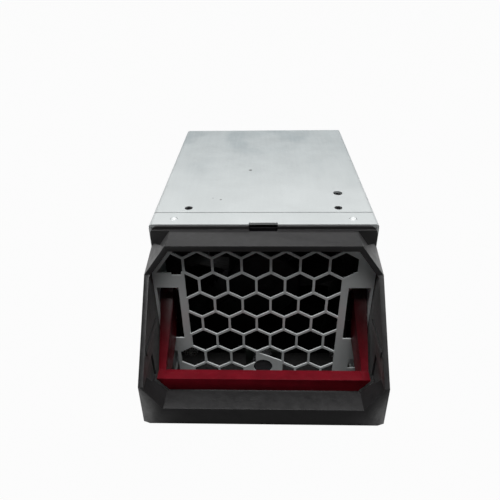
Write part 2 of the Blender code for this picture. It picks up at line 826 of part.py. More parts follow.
def hand_cutter():
    """The room behind the beam, down to the bezel's floor, where fingers reach the bar."""
    beam_back = GRILLE_Y - BEAM_BACK_AHEAD
    outline = [
        (BEZEL_BACK + SHEET, BEZEL_WALL),
        (GRILLE_Y - FOOT_AHEAD + MOUTH_STEP, BEZEL_WALL),
        (beam_back, NOSE_BOTTOM + BEAM_WEB),
        (beam_back, BEAM_TOP + BEAM_CORNER_RISE),
        (BEZEL_BACK + SHEET, SHOULDER_HEIGHT),
    ]
    return sheet("hand_space", [outline], -BEZEL_INNER, BEZEL_INNER, "YZ")


def make_bezel():
    body = sheet("bezel", [side_profile()], -BEZEL_HALF, BEZEL_HALF, "YZ")
    for side in (-1, 1):
        cut(body, shoulder_cutter(side), lower_corner(side), solver=THIN)
        join(body, neck_corner(side), solver=THIN)
    join(body, *back_plate(), solver=THIN)
    cut(body, mouth_cutter(), hand_cutter(), solver=THIN)

    # A ledge and a shallow pocket inside each cheek
    for side in (-1, 1):
        inner = side * BEZEL_INNER
        low, high = sorted((inner - side * LEDGE_PROUD, inner + side * BEZEL_WALL / 2))
        ledge_top = SHOULDER_HEIGHT - LEDGE_DROP
        ledge = box(
            "ledge",
            (low, GRILLE_Y - LEDGE_END, ledge_top - LEDGE_TALL),
            (high, GRILLE_Y - LEDGE_START, ledge_top),
        )
        join(body, ledge, solver=THIN)
        low, high = sorted((inner - side * BEZEL_WALL, inner + side * POCKET_DEEP))
        pocket_top = SHOULDER_HEIGHT - POCKET_TOP_DROP
        pocket = box(
            "pocket",
            (low, GRILLE_Y - POCKET_END, pocket_top - POCKET_TALL),
            (high, GRILLE_Y - POCKET_START, pocket_top),
        )
        cut(body, pocket, solver=THIN)

    # The clip's slot in the neck, its tongue and the hook that stands in the collar's notch
    roof = BEZEL_TOP - BEZEL_ROOF
    slot = box(
        "clip_slot",
        (-CLIP_HALF - GAP, BEZEL_BACK - CLIP_SLOT, roof + CLIP_FLOOR),
        (CLIP_HALF + GAP, BEZEL_BACK + SHEET, BOX_HEIGHT),
    )
    hook_back = FRONT_Y + CLIP_SET + CLIP_THICK
    tongue = box(
        "tongue",
        (-CLIP_HALF, BEZEL_BACK - SHEET, roof + GAP / 3),
        (CLIP_HALF, hook_back, roof + CLIP_TONGUE),
    )
    hook = box(
        "hook",
        (-CLIP_HALF, FRONT_Y + CLIP_SET, roof + CLIP_TONGUE / 2),
        (CLIP_HALF, hook_back, BOX_HEIGHT - CLIP_SINK),
    )
    join(cut(body, slot, solver=THIN), tongue, hook, solver=THIN)
    return finish(body, "bezel", black_plastic)


# Handle


def arm_outline():
    """One arm seen from the side, with the bar's section at its end."""
    slope = tan(ARM_SLOPE)
    upper = PIVOT_HEIGHT + ARM_ABOVE / cos(ARM_SLOPE)
    lower = PIVOT_HEIGHT - ARM_BELOW / cos(ARM_SLOPE)
    top_start = PIVOT_Y - (upper - BAR_TOP) / slope
    low_start = PIVOT_Y - (lower - BAR_BOTTOM) / slope
    first = ARM_SLOPE - pi / 2 + EYE_TRIM
    sweep = pi - 2 * EYE_TRIM
    eye = [
        (
            PIVOT_Y + EYE_RADIUS * cos(first + i * sweep / EYE_STEPS),
            PIVOT_HEIGHT + EYE_RADIUS * sin(first + i * sweep / EYE_STEPS),
        )
        for i in range(EYE_STEPS + 1)
    ]
    return eye + [
        (top_start, BAR_TOP),
        (BAR_FRONT_Y, BAR_TOP),
        (BAR_FRONT_Y, BAR_BOTTOM + BAR_FOOT_RISE),
        (BAR_FRONT_Y + BAR_FOOT_BACK, BAR_BOTTOM),
        (low_start, BAR_BOTTOM),
    ]


def bar_section():
    """The bar seen from the side, a hair inside the arms' own outline."""
    top, foot = BAR_TOP - BAR_STEP, BAR_BOTTOM + BAR_STEP
    front = BAR_FRONT_Y + BAR_STEP
    return [
        (BAR_BACK_Y, top - BAR_FALL),
        (BAR_FRONT_Y + BAR_FLAT, top),
        (front, top),
        (front, BAR_BOTTOM + BAR_FOOT_RISE),
        (BAR_FRONT_Y + BAR_FOOT_BACK, foot),
        (BAR_BACK_Y, foot),
    ]


def make_handle():
    """A bail: two tapered arms on pivots behind the grille, and a bar across the front."""
    bar_half = ARM_OUTER - BAR_SET
    bar = sheet("handle", [bar_section()], -bar_half, bar_half, "YZ")
    front = GRILLE_Y - 2 * BAR_FRONT
    for side in (-1, 1):
        low, high = sorted((side * ARM_INNER_ROOT, side * ARM_OUTER))
        arm = sheet("arm", [arm_outline()], low, high, "YZ")
        taper = [
            (side * (ARM_INNER_ROOT - SHEET), GRILLE_Y),
            (side * ARM_INNER_ROOT, GRILLE_Y),
            (side * ARM_INNER_BAR, BAR_BACK_Y + SHEET),
            (side * ARM_INNER_BAR, front),
            (side * (ARM_INNER_ROOT - SHEET), front),
        ]
        cut(arm, sheet("taper", [taper], 0, BOX_HEIGHT, "XY"), solver=THIN)
        join(bar, arm, solver=THIN)
    for side in (-1, 1):
        corner = [
            (side * ARM_OUTER, BAR_TOP - CORNER_TOP),
            (side * (ARM_OUTER + SHEET), BAR_TOP - CORNER_TOP),
            (side * (ARM_OUTER + SHEET), BAR_BOTTOM - SHEET),
            (side * (ARM_OUTER - CORNER_IN), BAR_BOTTOM - SHEET),
            (side * (ARM_OUTER - CORNER_IN), BAR_BOTTOM),
        ]
        cut(bar, sheet("bar_corner", [corner], front, BAR_BACK_Y + BAR_FLAT), solver=THIN)
    return finish(cut(bar, pivot_hole(), solver=THIN), "handle", maroon_plastic)


def make_pins():
    """Shoulder pins pressed into the pan's returns, one for each arm."""
    for side, name in ((-1, "handle_pin_left"), (1, "handle_pin_right")):
        inner = side * (ARM_INNER_ROOT - GAP)
        outer = side * (PAN_HALF - PIN_PLAY)
        end = inner - side * PIN_HEAD
        middle = (inner + end) / 2
        pin = cylinder(
            name, PIN_RADIUS, (middle, PIVOT_Y, PIVOT_HEIGHT), (outer, PIVOT_Y, PIVOT_HEIGHT)
        )
        head = cylinder(
            "pin_head", 2 * PIN_RADIUS, (inner, PIVOT_Y, PIVOT_HEIGHT), (end, PIVOT_Y, PIVOT_HEIGHT)
        )
        finish(join(pin, head), name, bright_steel)


def make_lamp():
    """A status lamp: a light pipe in the pan's round hole, on its small board."""
    end = GRILLE_Y + LAMP_DEPTH
    pipe = cylinder(
        "lamp_lens",
        LAMP_RADIUS - LAMP_PLAY,
        (0, GRILLE_Y + GAP, LAMP_HEIGHT),
        (0, end, LAMP_HEIGHT),
        steps=LENS_STEPS,
    )
    rim = cylinder(
        "lamp_rim",
        LAMP_RADIUS + LAMP_RIM,
        (0, GRILLE_Y + SHEET + GAP, LAMP_HEIGHT),
        (0, GRILLE_Y + LAMP_RIM_END, LAMP_HEIGHT),
        steps=LENS_STEPS,
    )
    finish(join(pipe, rim), "lamp_lens", smoke_clear)
    lamp_board = box(
        "lamp_board",
        (-LAMP_BOARD_HALF, end + GAP, PAN_BOTTOM + SHEET + GAP),
        (LAMP_BOARD_HALF, end + GAP + LAMP_BOARD, LAMP_HEIGHT + LAMP_BOARD_RISE),
    )
    finish(lamp_board, "lamp_board", board_green)


# Fans


def blade(name, start, end, turn, hand):
    """A closed, twisted, cambered blade from the hub to near the bore."""
    spans, chords = 3, 6
    root, tip = HUB_RADIUS - HUB_WALL / 2, BORE_RADIUS - TIP_PLAY
    shape = bmesh.new()
    rows = []
    for i in range(spans + 1):
        share = i / spans
        radius = root + share * (tip - root)
        sweep = turn + BLADE_SWEEP * share * share
        twist = hand * (ROOT_TWIST + share * (TIP_TWIST - ROOT_TWIST))
        row = []
        for j in list(range(chords + 1)) + list(range(chords - 1, 0, -1)):
            side = -1 if len(row) <= chords else 1
            along = j / chords
            y = start + along * (end - start)
            thick = BLADE_THICK * (BLADE_EDGE + (1 - BLADE_EDGE) * sin(pi * along)) / radius
            angle = sweep + twist * along * (1 - BLADE_CAMBER * along) + side * thick / 2
            row.append(shape.verts.new((radius * cos(angle), y, radius * sin(angle))))
        rows.append(row)
    count = len(rows[0])
    for near, far in zip(rows, rows[1:]):
        for k in range(count):
            n = (k + 1) % count
            shape.faces.new((near[k], near[n], far[n], far[k]))
    shape.faces.new(rows[0])
    shape.faces.new(rows[-1][::-1])
    bmesh.ops.triangulate(shape, faces=shape.faces[:])
    return from_bmesh(name, shape, tools)


def at_axis(obj, y):
    obj.matrix_world = Matrix.Translation((0, y, AXIS_HEIGHT))
    return obj


def spindle(name, radius, start, end, steps=ROUND_STEPS):
    """A cylinder along the fan's own axis, in the fan's own depth."""
    return cylinder(name, radius, (0, start, 0), (0, end, 0), steps=steps)


def make_impeller(name, front, blades, hand):
    """A cup-shaped hub with twisted blades. The cup opens towards the motor base."""
    hub = at_axis(spindle(name, HUB_RADIUS, 0, HUB_LENGTH, CUP_STEPS), front)
    bevel(hub, HUB_BEVEL, 2, SHARP)
    for i in range(blades):
        turn = 2 * pi * i / blades
        made = blade("blade", BLADE_INSET, HUB_LENGTH - BLADE_INSET, turn, hand)
        join(hub, at_axis(made, front))
    hollow = spindle("hollow", HUB_RADIUS - HUB_WALL, HUB_FACE, 2 * HUB_LENGTH, CUP_STEPS)
    shaft_hole = spindle("shaft_hole", SHAFT_RADIUS + FIT, -HUB_FACE, 2 * HUB_FACE)
    cut(hub, at_axis(hollow, front), at_axis(shaft_hole, front))
    return finish(hub, name, impeller_plastic)


def rounded_square(half, radius):
    return rounded_box(-half, half, -half, half, radius, 3)


def rounded_box(u0, u1, v0, v1, radius, steps=2):
    points = []
    for u, v, quarter in ((u1, v1, 0), (u0, v1, 1), (u0, v0, 2), (u1, v0, 3)):
        cu = u - radius if u == u1 else u + radius
        cv = v - radius if v == v1 else v + radius
        for i in range(steps + 1):
            a = (quarter + i / steps) * pi / 2
            points.append((cu + radius * cos(a), cv + radius * sin(a)))
    return points


def corner_pocket(sx, sz):
    """The hollow between a housing's round waist and its square corner."""
    edge, waist = FAN_SIDE / 2 + SHEET, BORE_RADIUS + FAN_WALL
    reach = waist * WAIST_REACH
    arc = [
        pi / 4 + POCKET_ARC - 2 * POCKET_ARC * i / WAIST_STEPS for i in range(WAIST_STEPS + 1)
    ]
    outline = [(sx * edge, sz * reach), (sx * edge, sz * edge), (sx * reach, sz * edge)]
    outline += [(sx * waist * cos(a), sz * waist * sin(a)) for a in arc]
    return sheet("waist", [outline], FLANGE, FAN_DEPTH - FLANGE)


def strut_bar(angle, hand):
    """A leaning strut from the motor base to the housing."""
    inner, outer = HUB_RADIUS - SHEET, BORE_RADIUS + FAN_WALL / 2
    shape = bmesh.new()
    rings = []
    for radius, a in ((inner, angle), (outer, angle + hand * STRUT_LEAN)):
        across = Vector((-sin(a), 0, cos(a))) * STRUT_WIDE / 2
        middle = Vector((radius * cos(a), 0, radius * sin(a)))
        low, high = BASE_START + FIT, BASE_START + STRUT_DEEP
        rings.append(
            [
                shape.verts.new(middle + across * s + Vector((0, y, 0)))
                for s, y in ((-1, low), (1, low), (1, high), (-1, high))
            ]
        )
    for k in range(4):
        n = (k + 1) % 4
        shape.faces.new((rings[0][k], rings[0][n], rings[1][n], rings[1][k]))
    shape.faces.new(rings[0])
    shape.faces.new(rings[1][::-1])
    return from_bmesh("strut", shape, tools)


def make_frame(name, front, struts, hand):
    """A square housing with a round bore, corner flanges, struts and a motor base."""
    outline = rounded_square(FAN_SIDE / 2, FAN_CORNER)
    body = sheet(name, [outline, circle(BORE_RADIUS, steps=BORE_STEPS)], 0, FAN_DEPTH)
    at_axis(body, front)
    for sx in (-1, 1):
        for sz in (-1, 1):
            x, z = sx * TIE_SPAN / 2, sz * TIE_SPAN / 2
            hole = cylinder(
                "tie_hole", TIE_HOLE_RADIUS, (x, -FLANGE, z), (x, FAN_DEPTH + FLANGE, z), steps=FINE_STEPS
            )
            cut(body, at_axis(corner_pocket(sx, sz), front), at_axis(hole, front))
    base = spindle("base", HUB_RADIUS, BASE_START, FAN_DEPTH, CUP_STEPS)
    join(body, at_axis(base, front))
    for i in range(struts):
        strut = strut_bar(2 * pi * i / struts + STRUT_TURN, hand)
        join(body, at_axis(strut, front))
    tube_start = BASE_START - TUBE_REACH
    tube = spindle("tube", TUBE_RADIUS, tube_start, BASE_START + SHEET)
    bore = spindle("tube_bore", BEARING_RADIUS + FIT, tube_start - FLANGE, BASE_START + SHEET + FIT)
    join(body, at_axis(tube, front))
    cut(body, at_axis(bore, front))
    return finish(body, name, fan_plastic)


def ring(name, outer, inner, start, end, steps=ROUND_STEPS):
    return sheet(name, [circle(outer, steps=steps), circle(inner, steps=steps)], start, end)


def make_motor(tag, front):
    """Magnet ring and shaft on the rotor; stator, board and bearings on the frame."""
    magnet_start = CUP_FLOOR + GAP
    inner = CUP_RADIUS - MAGNET
    magnet = ring("magnet", CUP_RADIUS, inner, magnet_start, magnet_start + MAGNET_LENGTH, CUP_STEPS)
    finish(at_axis(magnet, front), "magnet_ring_" + tag, magnet_grey)
    shaft = spindle("shaft", SHAFT_RADIUS, IMPELLER_START + FIT, BASE_START + SHEET / 2)
    finish(at_axis(shaft, front), "shaft_" + tag, bright_steel)
    start = CUP_FLOOR + STATOR_START
    end = start + STATOR_LENGTH
    outer = inner - AIR_GAP
    stator = ring("stator", outer, TUBE_RADIUS + FIT, start, end, CUP_STEPS)
    pitch_radius = (outer + TUBE_RADIUS) / 2
    slot_radius = (outer - TUBE_RADIUS) * SLOT_SHARE
    for i in range(POLES):
        a = 2 * pi * (i + 0.5) / POLES
        x, z = pitch_radius * cos(a), pitch_radius * sin(a)
        slot = cylinder("slot", slot_radius, (x, start - FLANGE, z), (x, end + FLANGE, z), steps=8)
        cut(stator, at_axis(slot, front))
    finish(at_axis(stator, front), "stator_" + tag, copper)
    back = BASE_START - GAP
    board = ring(
        "board", HUB_RADIUS - BOARD_INSET, TUBE_RADIUS + FIT, back - BOARD_THICK, back, CUP_STEPS
    )
    finish(at_axis(board, front), "motor_board_" + tag, board_green)
    low, high = BASE_START - TUBE_REACH + FIT, BASE_START + SHEET
    for place, near, far in (
        ("front", low, low + BEARING_LENGTH),
        ("rear", high - BEARING_LENGTH, high),
    ):
        bearing = ring("bearing", BEARING_RADIUS, SHAFT_RADIUS + FIT, near, far)
        finish(at_axis(bearing, front), "bearing_%s_%s" % (tag, place), bright_steel)


def make_fans():
    front_frame = make_frame("fan_frame_front", FAN_FRONT_Y, FRONT_STRUTS, 1)
    y = FRONT_Y + LID_SCREW_BEHIND
    for side in (-1, 1):
        x = side * (BOX_HALF - LID_SCREW_IN)
        hole = cylinder(
            "screw_hole",
            LID_SHANK_RADIUS + HEAD_PLAY,
            (x, y, FAN_TOP - LID_SCREW_BITE),
            (x, y, BOX_HEIGHT),
            steps=FINE_STEPS,
        )
        cut(front_frame, hole)
    make_frame("fan_frame_rear", FAN_REAR_Y, REAR_STRUTS, -1)
    make_impeller("impeller_front", FAN_FRONT_Y + IMPELLER_START, FRONT_BLADES, 1)
    make_impeller("impeller_rear", FAN_REAR_Y + IMPELLER_START, REAR_BLADES, -1)
    make_motor("front", FAN_FRONT_Y)
    make_motor("rear", FAN_REAR_Y)


def make_ties():
    """Four long screws hold the two fans together through their corner holes."""
    start, stop = FAN_FRONT_Y - GAP, FAN_END_Y + TIE_PAST
    for number, (sx, sz) in enumerate(((-1, -1), (1, -1), (1, 1), (-1, 1)), 1):
        x = sx * TIE_SPAN / 2
        z = AXIS_HEIGHT + sz * TIE_SPAN / 2
        face = start - TIE_HEAD_TALL
        name = "tie_screw_%d" % number
        screw = cylinder(name, TIE_RADIUS, (x, start - GAP, z), (x, stop, z), steps=FINE_STEPS)
        head = cylinder("tie_head", TIE_HEAD, (x, face, z), (x, start, z), steps=HEAD_STEPS)
        cross = [
            box(
                "tie_cross",
                (x - wide, face - SHEET, z - tall),
                (x + wide, face + CROSS_DEEP, z + tall),
            )
            for wide, tall in ((CROSS_LONG, CROSS_WIDE), (CROSS_WIDE, CROSS_LONG))
        ]
        finish(cut(join(screw, head), *cross), name, bright_steel)
        hole = circle(TIE_RADIUS + 2 * FIT, (x, z), FINE_STEPS)
        nut_start = FAN_END_Y + GAP
        nut = sheet("nut", [circle(NUT_RADIUS, (x, z), 6), hole], nut_start, nut_start + NUT_TALL)
        finish(nut, "tie_nut_%d" % number, bright_steel)


def make_pads():
    """Soft rails that take up the room between the fans and the tray's walls."""
    for side, name in ((-1, "side_pad_left"), (1, "side_pad_right")):
        low, high = sorted((side * (FAN_SIDE / 2 + GAP), side * (INNER_HALF - GAP)))
        outline = rounded_box(low, high, AXIS_HEIGHT - PAD_HALF, AXIS_HEIGHT + PAD_HALF, PAD_ROUND)
        pad = sheet(name, [outline], FAN_FRONT_Y + PAD_INSET, FAN_END_Y - PAD_INSET)
        finish(pad, name, foam)


# Rear end


def make_rear():
    """Rear panel: a finger guard of rings and spokes, and a window for the plug."""
    half = HEM_HALF - SHEET - GAP
    low, high = SHEET + GAP, BOX_HEIGHT - SHEET - GAP
    start, stop = BACK_Y - REAR_INSET - SHEET, BACK_Y - REAR_INSET
    centre = (0, GUARD_HEIGHT)
    opening = circle(GUARD_RADIUS, centre, BORE_STEPS)
    panel = sheet("panel", [rectangle(-half, half, low, high), opening], start, stop)
    radius = GUARD_RADIUS - GUARD_STEP
    while radius > GUARD_HUB + GUARD_STEP / 2:
        outer = circle(radius + GUARD_BAR / 2, centre, CUP_STEPS)
        inner = circle(radius - GUARD_BAR / 2, centre, CUP_STEPS)
        join(panel, sheet("guard_ring", [outer, inner], start, stop), solver=THIN)
        radius -= GUARD_STEP
    disc = sheet("guard_disc", [circle(GUARD_HUB, centre)], start, stop)
    join(panel, disc, solver=THIN)
    for turn in (pi / 4, 3 * pi / 4):
        across = Vector((cos(turn + pi / 2), sin(turn + pi / 2))) * SPOKE_HALF
        along = Vector((cos(turn), sin(turn))) * (GUARD_RADIUS + SHEET / 2)
        middle = Vector(centre)
        spoke = [
            tuple(middle + along * a + across * b)
            for a, b in ((-1, -1), (1, -1), (1, 1), (-1, 1))
        ]
        join(panel, sheet("spoke", [spoke], start, stop), solver=THIN)
    window = box(
        "window",
        (-PLUG_HALF - HEAD_PLAY, start - SHEET, PLUG_LOW - HEAD_PLAY - SHEET),
        (PLUG_HALF + HEAD_PLAY, stop + SHEET, PLUG_LOW + PLUG_HEIGHT + HEAD_PLAY),
    )
    return finish(cut(panel, window, solver=THIN), "rear_guard", steel)


def make_plug():
    """The plug that meets the server's socket as the module slides home."""
    start, stop = BACK_Y - PLUG_LENGTH, BACK_Y - PLUG_SINK
    low, high = PLUG_LOW, PLUG_LOW + PLUG_HEIGHT
    middle = (low + high) / 2
    body = sheet("plug", [rectangle(-PLUG_HALF, PLUG_HALF, low, high)], start, stop)
    pitch = 2 * (PLUG_HALF - PLUG_WALL) / PLUG_WAYS
    for i in range(PLUG_WAYS):
        x = (i + 0.5) * pitch - PLUG_HALF + PLUG_WALL
        half = pitch / 2 - WAY_WALL
        way = box(
            "way",
            (x - half, stop - WAY_DEEP, low + WAY_EDGE),
            (x + half, stop + SHEET, high - WAY_EDGE),
        )
        cut(body, way)
        name = "terminal_%d" % (i + 1)
        terminal = box(
            name,
            (x - TERMINAL_HALF, stop - WAY_DEEP + GAP, middle - TERMINAL_TALL / 2),
            (x + TERMINAL_HALF, stop - TERMINAL_SHORT, middle + TERMINAL_TALL / 2),
        )
        finish(terminal, name, gold)
    return finish(body, "plug_housing", black_plastic)


def smooth_route(points, count):
    """Points along a smooth curve through a few chosen ones."""
    points = [Vector(p) for p in points]
    ends = [2 * points[0] - points[1]] + points + [2 * points[-1] - points[-2]]
    spans = len(points) - 1
    route = []
    for i in range(count):
        place = i / (count - 1) * spans
        k = min(int(place), spans - 1)
        t = place - k
        a, b, c, d = ends[k : k + 4]
        bend = 2 * a - 5 * b + 4 * c - d
        turn = 3 * b - a - 3 * c + d
        route.append(0.5 * (2 * b + (c - a) * t + bend * t * t + turn * t**3))
    return route


def cable(name, points, count):
    curve = bpy.data.curves.new(name, "CURVE")
    curve.dimensions = "3D"
    curve.bevel_depth = LEAD_RADIUS
    curve.bevel_resolution = 2
    curve.use_fill_caps = True
    spline = curve.splines.new("POLY")
    route = smooth_route(points, count)
    spline.points.add(len(route) - 1)
    for point, place in zip(spline.points, route):
        point.co = (*place, 1)
    obj = bpy.data.objects.new(name, curve)
    tools.objects.link(obj)
    return finish(obj, name, cable_black)


def make_harness():
    """A lead from each fan to the plug, one down each side of the tray."""
    behind = BACK_Y - PLUG_LENGTH - GAP
    height = PLUG_LOW + PLUG_HEIGHT / 2
    corner = FAN_SIDE / 2 - LEAD_CORNER_IN
    across = PLUG_HALF * LEAD_SPREAD
    cable(
        "lead_rear_fan",
        [
            (corner, FAN_END_Y + GAP, height + LEAD_RADIUS),
            (corner, FAN_END_Y + LEAD_TURN, height + LEAD_RADIUS),
            (corner - LEAD_STEP, behind - LEAD_TURN, height),
            (PLUG_HALF, behind - LEAD_TURN, height),
            (across, behind - LEAD_TAIL, height),
            (across, behind - LEAD_STAND, height),
        ],
        REAR_LEAD_POINTS,
    )
    lane = (FAN_SIDE / 2 + INNER_HALF) / 2
    cable(
        "lead_front_fan",
        [
            (-lane, FAN_REAR_Y - LEAD_STEP, LEAD_START),
            (-lane, FAN_REAR_Y + LEAD_STEP, LEAD_LOW + LEAD_RADIUS),
            (-lane, FAN_REAR_Y + FAN_DEPTH / 2, LEAD_LOW),
            (-lane, FAN_END_Y - LEAD_TAIL, LEAD_LOW),
            (-lane, FAN_END_Y + LEAD_TAIL, LEAD_LOW),
            (-lane + LEAD_TURN, FAN_END_Y + LEAD_STEP, LEAD_LOW),
            (-2 * PLUG_HALF, behind - LEAD_TURN, LEAD_LOW),
            (-PLUG_HALF, behind - LEAD_TURN, height),
            (-across, behind - LEAD_TAIL, height),
            (-across, behind - LEAD_STAND, height),
        ],
        FRONT_LEAD_POINTS,
    )


clear_scene()
module = new_collection("server_fan_module")
tools = new_collection("cutters")
steel = material("zinc_steel", (0.60, 0.62, 0.60), 0.38, 0.9)
bright_steel = material("bright_steel", (0.66, 0.66, 0.66), 0.3, 1.0)
black_oxide = material("black_oxide", (0.02, 0.02, 0.022), 0.4, 0.7)
black_plastic = material("black_plastic", (0.030, 0.029, 0.033), 0.5)
maroon_plastic = material("maroon_plastic", (0.19, 0.018, 0.035), 0.45)
fan_plastic = material("fan_plastic", (0.012, 0.012, 0.014), 0.5)
impeller_plastic = material("impeller_plastic", (0.018, 0.018, 0.020), 0.42)
magnet_grey = material("magnet_ferrite", (0.08, 0.08, 0.085), 0.7)
copper = material("copper_winding", (0.55, 0.24, 0.10), 0.35, 0.8)
board_green = material("circuit_board", (0.02, 0.14, 0.06), 0.5)
gold = material("gold_contact", (0.80, 0.60, 0.25), 0.3, 1.0)
foam = material("rubber_foam", (0.03, 0.03, 0.03), 0.9)
cable_black = material("cable_sleeve", (0.02, 0.02, 0.02), 0.6)
smoke_clear = material("lamp_lens", (0.10, 0.10, 0.11), 0.15)

make_tray()
make_lid()
make_lid_screws()
make_collar()
make_rivets()
make_grille()
make_bezel()
make_handle()
make_pins()
make_lamp()
make_fans()
make_ties()
make_pads()
make_rear()
make_plug()
make_harness()

for helper in tools.objects:
    helper.hide_render = True
    helper.display_type = "WIRE"
tools.hide_render = True
for obj in module.objects:
    if obj.type != "MESH":
        continue
    obj.data.shade_smooth()
    faceted = obj.name in ("bezel", "handle")
    obj.data.set_sharp_from_angle(angle=FACET_ANGLE if faceted else ROUND_ANGLE)
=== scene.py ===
import json
from math import radians, sqrt

import bmesh
import bpy
from mathutils import Matrix, Vector


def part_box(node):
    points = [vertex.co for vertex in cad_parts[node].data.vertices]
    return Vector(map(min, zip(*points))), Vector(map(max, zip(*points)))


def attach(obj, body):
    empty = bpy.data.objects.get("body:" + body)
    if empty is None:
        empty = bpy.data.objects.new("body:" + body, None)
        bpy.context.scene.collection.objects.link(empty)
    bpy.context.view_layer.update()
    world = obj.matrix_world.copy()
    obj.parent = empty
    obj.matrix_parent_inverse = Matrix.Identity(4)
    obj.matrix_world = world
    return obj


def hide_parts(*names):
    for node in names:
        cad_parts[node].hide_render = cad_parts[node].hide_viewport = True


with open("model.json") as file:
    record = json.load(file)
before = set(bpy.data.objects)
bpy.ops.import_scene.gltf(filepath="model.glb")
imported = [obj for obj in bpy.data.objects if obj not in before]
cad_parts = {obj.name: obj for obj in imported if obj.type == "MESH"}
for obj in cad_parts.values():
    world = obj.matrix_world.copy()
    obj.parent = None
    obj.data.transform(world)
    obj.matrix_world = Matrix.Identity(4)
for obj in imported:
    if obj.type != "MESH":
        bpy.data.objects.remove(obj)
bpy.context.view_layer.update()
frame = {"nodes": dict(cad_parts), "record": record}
nodes = frame["nodes"]

# Viewpoint
CAMERA_PLACE = (0.0001, -0.2133, 0.1723)
CAMERA_YAW = radians(1.95)
CAMERA_PITCH = radians(-32.6)
CAMERA_ROLL = radians(-1.0)
CAMERA_LENS = 33.64
CAMERA_SENSOR = 36

# Floor: its own tone, and the white that it shows to the eye. Glossy surfaces see it dark round the
# object, and white beyond: it turns between two distances to the side, and two depths in front.
FLOOR_REACH = 6.0
FLOOR_DROP = 0.0002
FLOOR_TONE = (0.05, 0.05, 0.05)
FLOOR_WHITE = 0.97
FLOOR_SIDES = (0.044, 0.060)
FLOOR_FRONT = (-0.150, -0.115)

# Room: an even level, and a glow that grows between two cosines to its own direction
ROOM_TONE = (0.95, 0.985, 1.0)
ROOM_BASE = 0.04
ROOM_SHINE = 0.05
GLOW_TOWARDS = (0.0, 0.80, 0.60)
GLOW_RISE = (0.0, 0.9, 0.0, 0.10)

# Soft lamps: the name, place, size and power of each
AIM_HEIGHT = 0.04
SOFTBOXES = (
    ("top", (0.0, -0.30, 1.25), (1.0, 0.34), 19),
    ("back", (0.0, 0.95, 1.05), (1.8, 0.7), 4.2),
)

# Every colour ramp runs between these two levels of its factor
RAMP_STOPS = (0.3, 0.7)

# Zinc sheet: its darkest and palest clouds, outside and inside the grain, and the grille's gain of
# painted light
ZINC_TONES = (
    ((0.58, 0.61, 0.61), (0.63, 0.66, 0.66)),
    ((0.61, 0.64, 0.64), (0.66, 0.69, 0.69)),
)
GRILLE_PAINTED_LIGHT = 1.25

# The dull film on the sheet: its tones, the two depths between which it grows and its share at both,
# and the two noise levels between which its clouds grow, with their share at both
FILM_TONES = ((0.37, 0.42, 0.435), (0.42, 0.465, 0.48))
FILM_RISE = (-0.045, 0.050, 0.0, 0.85)
FILM_CLOUDS = (0.48, 0.68, 0.55, 1.0)

# Small dark marks on the lid: the middle and size of each
MARK_GREYS = (0.13, 0.2)
LID_MARKS = (
    ((-0.0062, -0.003, 0.0836), 0.00075),
    ((-0.0180, -0.0346, 0.0836), 0.00050),
    ((-0.0215, -0.0332, 0.0836), 0.00030),
)

# Mouldings: how far their tone and roughness wander, and the depth of their usual grain
TONE_LOW = 0.86
TONE_HIGH = 1.16
SMOOTHER = 0.05
ROUGHER = 0.07
SHEEN_ROUGHNESS = 0.4
USUAL_GRAIN = 0.000035
WAVINESS = 0.00006

# The arms of the handle darken between these heights, to this share of their colour: painted shade
ARM_PAINTED_SHADE = (0.022, 0.049)
PAINTED_SHADE_SHARE = 0.10

# Rounding of moulded, folded and punched edges, the angle from which an edge is sharp, and the
# angle and distance within which faces are one flat and corners one point
BEZEL_ROUND = 0.0007
HANDLE_ROUND = 0.0008
SHEET_ROUND = 0.00035
PUNCH_ROUND = 0.00018
SHARP = radians(30)
SAME_FLAT = radians(0.6)
SAME_POINT = 1e-6

# The clip's half width, and the limits in depth and height that hold it; its faces get painted shade
CLIP_HALF = 0.0055
CLIP_FRONT = -0.0600
CLIP_LOW = 0.0795

# Punched sheet of the grille: its solid's thickness, the one that shows, how close to its back a
# corner counts as on it, and how level its return's top is
SHEET = 0.0010
FACE_SHEET = 0.0006
NEAR = 0.00005
UPWARD = 0.9

# The honeycomb: its pitch, web, shift across and the drop of its first row below the lid
CELL_PITCH = 0.01125
CELL_WALL = 0.00096
CELL_OFFSET = -0.00264
FIRST_ROW_DROP = 0.0125

# Cells beside the lamp: pitches across, rows below the first, and whether the cell is whole
LAMP_CELLS = ((-0.5, 5, True), (1.0, 6, False))

# Black film on the grille's lower flange, painted shade: its thickness, its margins and the air under
# it
SILL_SHADE_FILM = 0.00015
SILL_BEHIND = 0.0012
SILL_BEFORE_FAN = 0.0002
SILL_SIDE = 0.002
SILL_AIR = 0.00002


# Node helpers


def calculate(tree, operation, *values):
    """One Math node. A value is a number or an output."""
    made = tree.nodes.new("ShaderNodeMath")
    made.operation = operation
    for socket, value in zip(made.inputs, values):
        if isinstance(value, (int, float)):
            socket.default_value = value
        else:
            tree.links.new(value, socket)
    return made.outputs["Value"]


def step(tree, value, stretch):
    """A smooth step from a first to a second level, from 0 to 1 or between two more numbers."""
    made = tree.nodes.new("ShaderNodeMapRange")
    made.interpolation_type = "SMOOTHSTEP"
    for name, end in zip(("From Min", "From Max", "To Min", "To Max"), stretch):
        made.inputs[name].default_value = end
    tree.links.new(value, made.inputs["Value"])
    return made.outputs["Result"]


